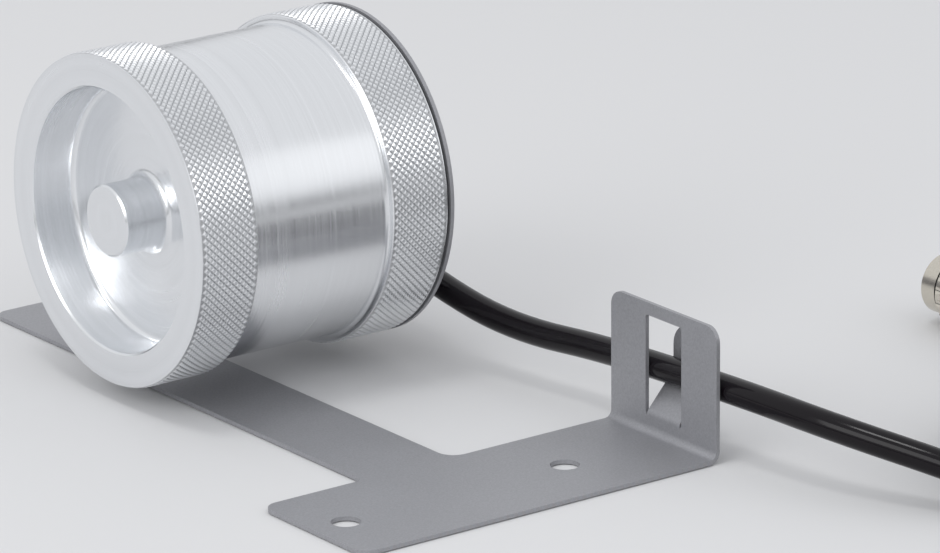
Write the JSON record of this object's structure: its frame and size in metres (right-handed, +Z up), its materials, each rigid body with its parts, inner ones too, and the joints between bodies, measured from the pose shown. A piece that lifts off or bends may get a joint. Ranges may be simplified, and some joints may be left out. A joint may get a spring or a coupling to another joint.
{
  "type": "measuring wheel encoder",
  "caption": "Knurled measuring wheel with a rotary encoder inside it, carried on a flat steel spring arm with a slotted mounting bar and an upright tab that clips its cable.",
  "frame": {"origin": "midway between the two mounting holes, on the underside of the mounting bar", "axes": "+X along the wheel's axis from its open front face to the disc behind it, +Y along the spring arm from the mounting bar to the wheel, +Z up from the surface that the bar is screwed to"},
  "size_m": [0.1754, 0.2336, 0.0671],
  "materials": {
    "bracket_sheet": "bead-blasted spring steel, matt grey",
    "wheel_aluminium": "bright turned aluminium with knurled running rings",
    "housing_aluminium": "black anodised aluminium",
    "machined_aluminium": "clear anodised aluminium",
    "bearing_steel": "ground and polished bearing steel",
    "shaft_steel": "turned stainless steel",
    "spring_steel": "dark phosphated spring steel",
    "screw_steel": "zinc plated steel",
    "cage_plastic": "glass-filled nylon",
    "black_rubber": "black nitrile rubber",
    "gasket_rubber": "dark grey sheet rubber",
    "disc_glass": "glass code disc with a dark graduated track",
    "board_laminate": "green lacquered laminate",
    "chip_plastic": "black moulded epoxy",
    "socket_plastic": "cream nylon",
    "brass_plated": "nickel plated brass",
    "cable_jacket": "smooth black cable jacket",
    "plug_plastic": "black moulded plastic",
    "pin_gold": "gold plated contact pins"
  },
  "bodies": {
    "bracket": {"bracket_base": "bracket_sheet", "encoder_lead": "cable_jacket", "cable_run": "cable_jacket", "cable_coil": "cable_jacket", "cable_tail": "cable_jacket", "plug_strain_relief": "plug_plastic", "plug_grip": "plug_plastic", "plug_seal_ring": "black_rubber", "plug_insert": "plug_plastic", "plug_pins": "pin_gold"},
    "plug_ring": {"coupling_nut": "brass_plated"},
    "arm": {"spring_arm": "bracket_sheet", "encoder_housing": "machined_aluminium", "housing_cover": "machined_aluminium", "cover_gasket": "gasket_rubber", "cover_screws": "screw_steel", "plate_screws": "screw_steel", "shaft_seal": "black_rubber", "front_bearing_outer_race": "bearing_steel", "front_bearing_shields": "spring_steel", "rear_bearing_outer_race": "bearing_steel", "rear_bearing_shields": "spring_steel", "spring_washer": "spring_steel", "housing_circlip": "spring_steel", "board_posts": "brass_plated", "sensor_board": "board_laminate", "optical_sensor": "chip_plastic", "board_socket": "socket_plastic", "board_screws": "screw_steel", "cable_outlet": "housing_aluminium", "outlet_screws": "screw_steel", "gland_nut": "brass_plated", "gland_seal": "black_rubber"},
    "wheel": {"measuring_wheel": "wheel_aluminium", "encoder_shaft": "shaft_steel", "front_bearing_inner_race": "bearing_steel", "rear_bearing_inner_race": "bearing_steel", "inner_race_sleeve": "shaft_steel", "shaft_circlip": "spring_steel", "code_disc_hub": "machined_aluminium", "hub_grub_screw": "spring_steel", "code_disc": "disc_glass"},
    "front_balls": {"front_bearing_balls": "bearing_steel", "front_bearing_cage": "cage_plastic"},
    "rear_balls": {"rear_bearing_balls": "bearing_steel", "rear_bearing_cage": "cage_plastic"}
  },
  "joints": [
    {"name": "arm_flex", "type": "hinge", "parent": "bracket", "child": "arm", "pos_m": [0.0006, 0.02, 0.0004], "axis": [1, 0, 0], "range_deg": [-5, 5], "stiffness_Nm_per_rad": 4.2, "deforming": ["encoder_lead"]},
    {"name": "wheel_spin", "type": "hinge", "parent": "arm", "child": "wheel", "pos_m": [0, 0.083, 0.03523], "axis": [1, 0, 0], "continuous": true},
    {"name": "front_balls_spin", "type": "hinge", "parent": "arm", "child": "front_balls", "pos_m": [0.0035, 0.083, 0.03523], "axis": [1, 0, 0], "continuous": true},
    {"name": "rear_balls_spin", "type": "hinge", "parent": "arm", "child": "rear_balls", "pos_m": [0.0155, 0.083, 0.03523], "axis": [1, 0, 0], "continuous": true},
    {"name": "plug_ring_turn", "type": "hinge", "parent": "bracket", "child": "plug_ring", "pos_m": [0.13681, -0.02013, 0.0073], "axis": [-0.022, 0.9998, 0], "continuous": true}
  ],
  "couplings": [
    {"joint": "front_balls_spin", "follows": "wheel_spin", "ratio": 0.3678},
    {"joint": "rear_balls_spin", "follows": "wheel_spin", "ratio": 0.3678}
  ]
}
